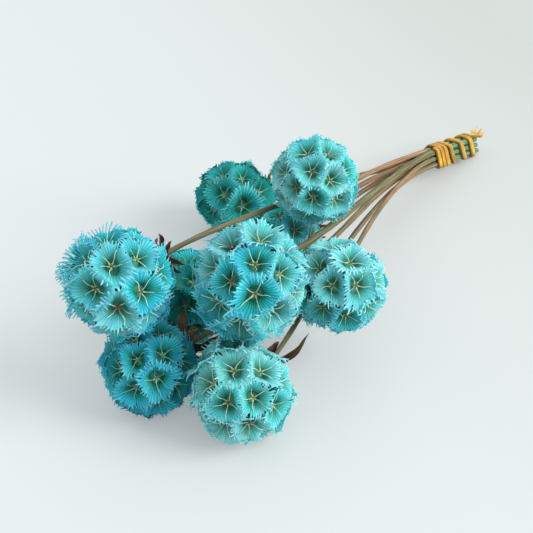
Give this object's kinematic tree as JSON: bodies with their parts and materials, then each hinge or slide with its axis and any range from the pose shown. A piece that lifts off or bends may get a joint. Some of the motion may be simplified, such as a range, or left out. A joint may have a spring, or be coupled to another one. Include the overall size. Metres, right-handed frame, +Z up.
{
  "type": "tied bunch of dried scabious seed heads",
  "caption": "Bunch of dyed turquoise starflower seed heads on thin stems, bound near the cut ends by a wound band and lying on its side.",
  "frame": {"origin": "on the table, under the middle of the whole bunch's box", "axes": "+X runs from the heads to the cut stem ends, +Z is up from the table"},
  "size_m": [0.2198, 0.1012, 0.065],
  "materials": {
    "dyed_cups": "matte papery, fine ribs, greener in the cups",
    "bract": "dry matte brown leaf",
    "stem": "dry, finely ridged, olive to pinkish brown",
    "band": "satin yellow-orange band with pale worn ends"
  },
  "bodies": {
    "root": {"head_a": "dyed_cups", "bracts_a": "bract", "stem_a": "stem", "head_b": "dyed_cups", "bracts_b": "bract", "stem_b": "stem", "head_c": "dyed_cups", "bracts_c": "bract", "stem_c": "stem", "head_d": "dyed_cups", "bracts_d": "bract", "stem_d": "stem", "head_e": "dyed_cups", "bracts_e": "bract", "stem_e": "stem", "head_f": "dyed_cups", "bracts_f": "bract", "stem_f": "stem", "head_g": "dyed_cups", "bracts_g": "bract", "stem_g": "stem", "head_h": "dyed_cups", "bracts_h": "bract", "stem_h": "stem", "head_i": "dyed_cups", "bracts_i": "bract", "stem_i": "stem", "tie": "band"}
  },
  "joints": []
}
